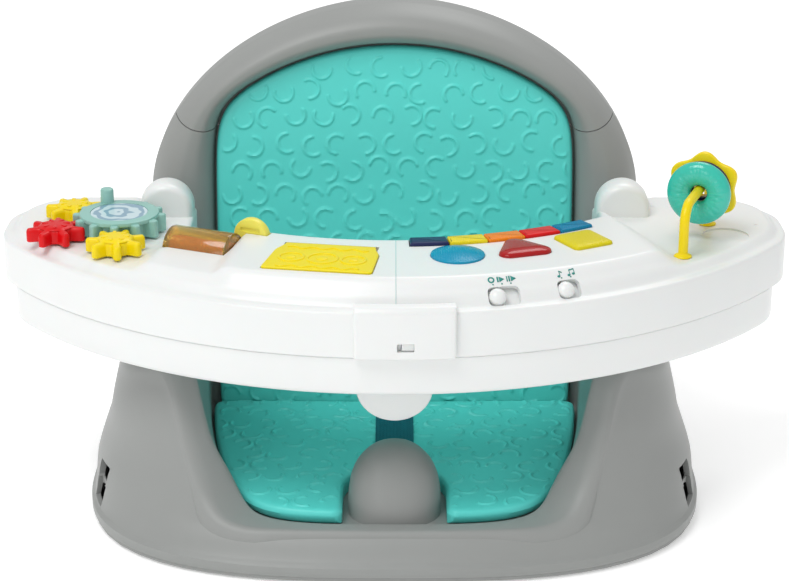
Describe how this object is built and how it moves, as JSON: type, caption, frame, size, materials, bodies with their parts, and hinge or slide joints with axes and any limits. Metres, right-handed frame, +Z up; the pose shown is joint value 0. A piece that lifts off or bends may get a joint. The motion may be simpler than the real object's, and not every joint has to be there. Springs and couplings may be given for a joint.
{
  "type": "baby floor seat",
  "caption": "Floor seat for a baby: padded tub with a backrest and pommel, a lift-off feeding tray and an activity tray with gears, roller, flap, keys, buttons and rings.",
  "frame": {"origin": "on the floor under the middle of the base", "axes": "+X to the right seen from the front, -Y the front, +Z up"},
  "size_m": [0.586, 0.344, 0.348],
  "materials": {
    "seat_body": "fine satin",
    "backrest_top": "fine satin",
    "base_plate": "fine satin",
    "rubber_feet": "matt",
    "base_screws": "zinc plated",
    "arch_screws": "zinc plated",
    "back_pad": "closed-cell foam, satin skin",
    "seat_pad": "closed-cell foam, satin skin",
    "crotch_strap": "ribbed webbing",
    "feeding_tray": "smooth",
    "release_paddle": "smooth",
    "paddle_pin": "zinc plated",
    "toy_tray_left": "smooth",
    "toy_tray_right": "smooth",
    "bottom_cover": "smooth",
    "cover_screws": "zinc plated",
    "join_latch": "smooth",
    "gear_large": "satin",
    "gear_label": "printed disc",
    "gear_red": "smooth",
    "gear_yellow_front": "smooth",
    "gear_yellow_rear": "smooth",
    "gear_spindles": "zinc plated",
    "roller_shell": "tinted clear plastic",
    "roller_core": "smooth",
    "roller_axle": "zinc plated",
    "flap_page": "smooth",
    "flap_pin": "zinc plated",
    "click_wheel": "smooth",
    "wheel_axle": "zinc plated",
    "key_navy": "smooth",
    "key_yellow": "smooth",
    "key_orange": "smooth",
    "key_red": "smooth",
    "key_blue": "smooth",
    "button_round": "smooth",
    "button_triangle": "smooth",
    "button_square": "smooth",
    "power_knob": "smooth",
    "melody_knob": "smooth",
    "key_membrane": "silicone",
    "circuit_board": "lacquered",
    "slide_switches": "matt",
    "speaker": "matt",
    "batteries": "wrapped cell",
    "battery_contacts": "zinc plated",
    "battery_door": "smooth",
    "ring_bar": "smooth",
    "ring_teal": "smooth",
    "ring_navy": "smooth",
    "ring_star": "smooth"
  },
  "bodies": {
    "seat": {"seat_body": "seat_body", "backrest_top": "backrest_top", "base_plate": "base_plate", "rubber_feet": "rubber_feet", "base_screws": "base_screws", "arch_screws": "arch_screws", "back_pad": "back_pad", "seat_pad": "seat_pad", "crotch_strap": "crotch_strap"},
    "feeding_tray": {"feeding_tray": "feeding_tray", "paddle_pin": "paddle_pin"},
    "release_paddle": {"release_paddle": "release_paddle"},
    "activity_tray": {"toy_tray_left": "toy_tray_left", "toy_tray_right": "toy_tray_right", "bottom_cover": "bottom_cover", "cover_screws": "cover_screws", "gear_spindles": "gear_spindles", "roller_axle": "roller_axle", "flap_pin": "flap_pin", "wheel_axle": "wheel_axle", "key_membrane": "key_membrane", "circuit_board": "circuit_board", "slide_switches": "slide_switches", "speaker": "speaker", "batteries": "batteries", "battery_contacts": "battery_contacts", "battery_door": "battery_door", "ring_bar": "ring_bar"},
    "join_latch": {"join_latch": "join_latch"},
    "large_gear": {"gear_large": "gear_large", "gear_label": "gear_label"},
    "red_gear": {"gear_red": "gear_red"},
    "front_gear": {"gear_yellow_front": "gear_yellow_front"},
    "rear_gear": {"gear_yellow_rear": "gear_yellow_rear"},
    "roller": {"roller_shell": "roller_shell", "roller_core": "roller_core"},
    "flap": {"flap_page": "flap_page"},
    "click_wheel": {"click_wheel": "click_wheel"},
    "teal_ring": {"ring_teal": "ring_teal"},
    "navy_ring": {"ring_navy": "ring_navy"},
    "star_ring": {"ring_star": "ring_star"},
    "power_knob": {"power_knob": "power_knob"},
    "melody_knob": {"melody_knob": "melody_knob"},
    "key_navy": {"key_navy": "key_navy"},
    "key_yellow": {"key_yellow": "key_yellow"},
    "key_orange": {"key_orange": "key_orange"},
    "key_red": {"key_red": "key_red"},
    "key_blue": {"key_blue": "key_blue"},
    "button_round": {"button_round": "button_round"},
    "button_triangle": {"button_triangle": "button_triangle"},
    "button_square": {"button_square": "button_square"}
  },
  "joints": [
    {"name": "feeding_tray_lift", "type": "slide", "parent": "seat", "child": "feeding_tray", "axis": [0, 0, 1], "range_m": [0, 0.12]},
    {"name": "paddle_pull", "type": "hinge", "parent": "feeding_tray", "child": "release_paddle", "pos_m": [0, -0.115, 0.1375], "axis": [-1, 0, 0], "range_deg": [0, 15], "stiffness_Nm_per_rad": 0.05, "springref_deg": -5.73},
    {"name": "activity_tray_lift", "type": "slide", "parent": "feeding_tray", "child": "activity_tray", "axis": [0, 0, 1], "range_m": [0, 0.06]},
    {"name": "latch_press", "type": "slide", "parent": "activity_tray", "child": "join_latch", "axis": [0, 1, 0], "range_m": [0, 0.002], "stiffness_N_per_m": 300, "springref_m": -0.001},
    {"name": "large_gear_spin", "type": "hinge", "parent": "activity_tray", "child": "large_gear", "pos_m": [-0.203, -0.001, 0.202], "axis": [0, 0, 1], "continuous": true},
    {"name": "red_gear_spin", "type": "hinge", "parent": "activity_tray", "child": "red_gear", "pos_m": [-0.24675, -0.0214, 0.202], "axis": [0, 0, 1], "continuous": true},
    {"name": "front_gear_spin", "type": "hinge", "parent": "activity_tray", "child": "front_gear", "pos_m": [-0.19989, -0.04917, 0.202], "axis": [0, 0, 1], "continuous": true},
    {"name": "rear_gear_spin", "type": "hinge", "parent": "activity_tray", "child": "rear_gear", "pos_m": [-0.24052, 0.02938, 0.202], "axis": [0, 0, 1], "continuous": true},
    {"name": "roller_spin", "type": "hinge", "parent": "activity_tray", "child": "roller", "pos_m": [-0.1378, -0.0452, 0.2025], "axis": [0.9135, -0.4067, 0], "continuous": true},
    {"name": "flap_open", "type": "hinge", "parent": "activity_tray", "child": "flap", "pos_m": [-0.04487, -0.07011, 0.2114], "axis": [-0.9851, 0.1719, 0], "range_deg": [0, 95]},
    {"name": "click_wheel_spin", "type": "hinge", "parent": "activity_tray", "child": "click_wheel", "pos_m": [-0.10261, -0.03713, 0.211], "axis": [-0.4163, -0.9092, 0], "continuous": true},
    {"name": "key_navy_press", "type": "slide", "parent": "activity_tray", "child": "key_navy", "axis": [0, 0, -1], "range_m": [0, 0.002], "stiffness_N_per_m": 300, "springref_m": -0.001},
    {"name": "key_yellow_press", "type": "slide", "parent": "activity_tray", "child": "key_yellow", "axis": [0, 0, -1], "range_m": [0, 0.002], "stiffness_N_per_m": 300, "springref_m": -0.001},
    {"name": "key_orange_press", "type": "slide", "parent": "activity_tray", "child": "key_orange", "axis": [0, 0, -1], "range_m": [0, 0.002], "stiffness_N_per_m": 300, "springref_m": -0.001},
    {"name": "key_red_press", "type": "slide", "parent": "activity_tray", "child": "key_red", "axis": [0, 0, -1], "range_m": [0, 0.002], "stiffness_N_per_m": 300, "springref_m": -0.001},
    {"name": "key_blue_press", "type": "slide", "parent": "activity_tray", "child": "key_blue", "axis": [0, 0, -1], "range_m": [0, 0.002], "stiffness_N_per_m": 300, "springref_m": -0.001},
    {"name": "button_round_press", "type": "slide", "parent": "activity_tray", "child": "button_round", "axis": [0, 0, -1], "range_m": [0, 0.0022], "stiffness_N_per_m": 500, "springref_m": -0.001},
    {"name": "button_triangle_press", "type": "slide", "parent": "activity_tray", "child": "button_triangle", "axis": [0, 0, -1], "range_m": [0, 0.0022], "stiffness_N_per_m": 500, "springref_m": -0.001},
    {"name": "button_square_press", "type": "slide", "parent": "activity_tray", "child": "button_square", "axis": [0, 0, -1], "range_m": [0, 0.0022], "stiffness_N_per_m": 500, "springref_m": -0.001},
    {"name": "power_slide", "type": "slide", "parent": "activity_tray", "child": "power_knob", "axis": [0.9748, 0.2233, 0], "range_m": [0, 0.009]},
    {"name": "melody_slide", "type": "slide", "parent": "activity_tray", "child": "melody_knob", "axis": [0.9336, 0.3584, 0], "range_m": [0, 0.004]},
    {"name": "teal_ring_spin", "type": "hinge", "parent": "activity_tray", "child": "teal_ring", "pos_m": [0.22139, -0.01578, 0.2368], "axis": [0.3498, 0.9368, 0], "continuous": true},
    {"name": "navy_ring_spin", "type": "hinge", "parent": "activity_tray", "child": "navy_ring", "pos_m": [0.22139, -0.01578, 0.2368], "axis": [0.3498, 0.9368, 0], "continuous": true},
    {"name": "star_ring_spin", "type": "hinge", "parent": "activity_tray", "child": "star_ring", "pos_m": [0.22139, -0.01578, 0.2368], "axis": [0.3498, 0.9368, 0], "continuous": true}
  ],
  "couplings": [
    {"joint": "red_gear_spin", "follows": "large_gear_spin", "ratio": -1.7143},
    {"joint": "front_gear_spin", "follows": "large_gear_spin", "ratio": -1.7143},
    {"joint": "rear_gear_spin", "follows": "large_gear_spin", "ratio": -1.7143}
  ]
}
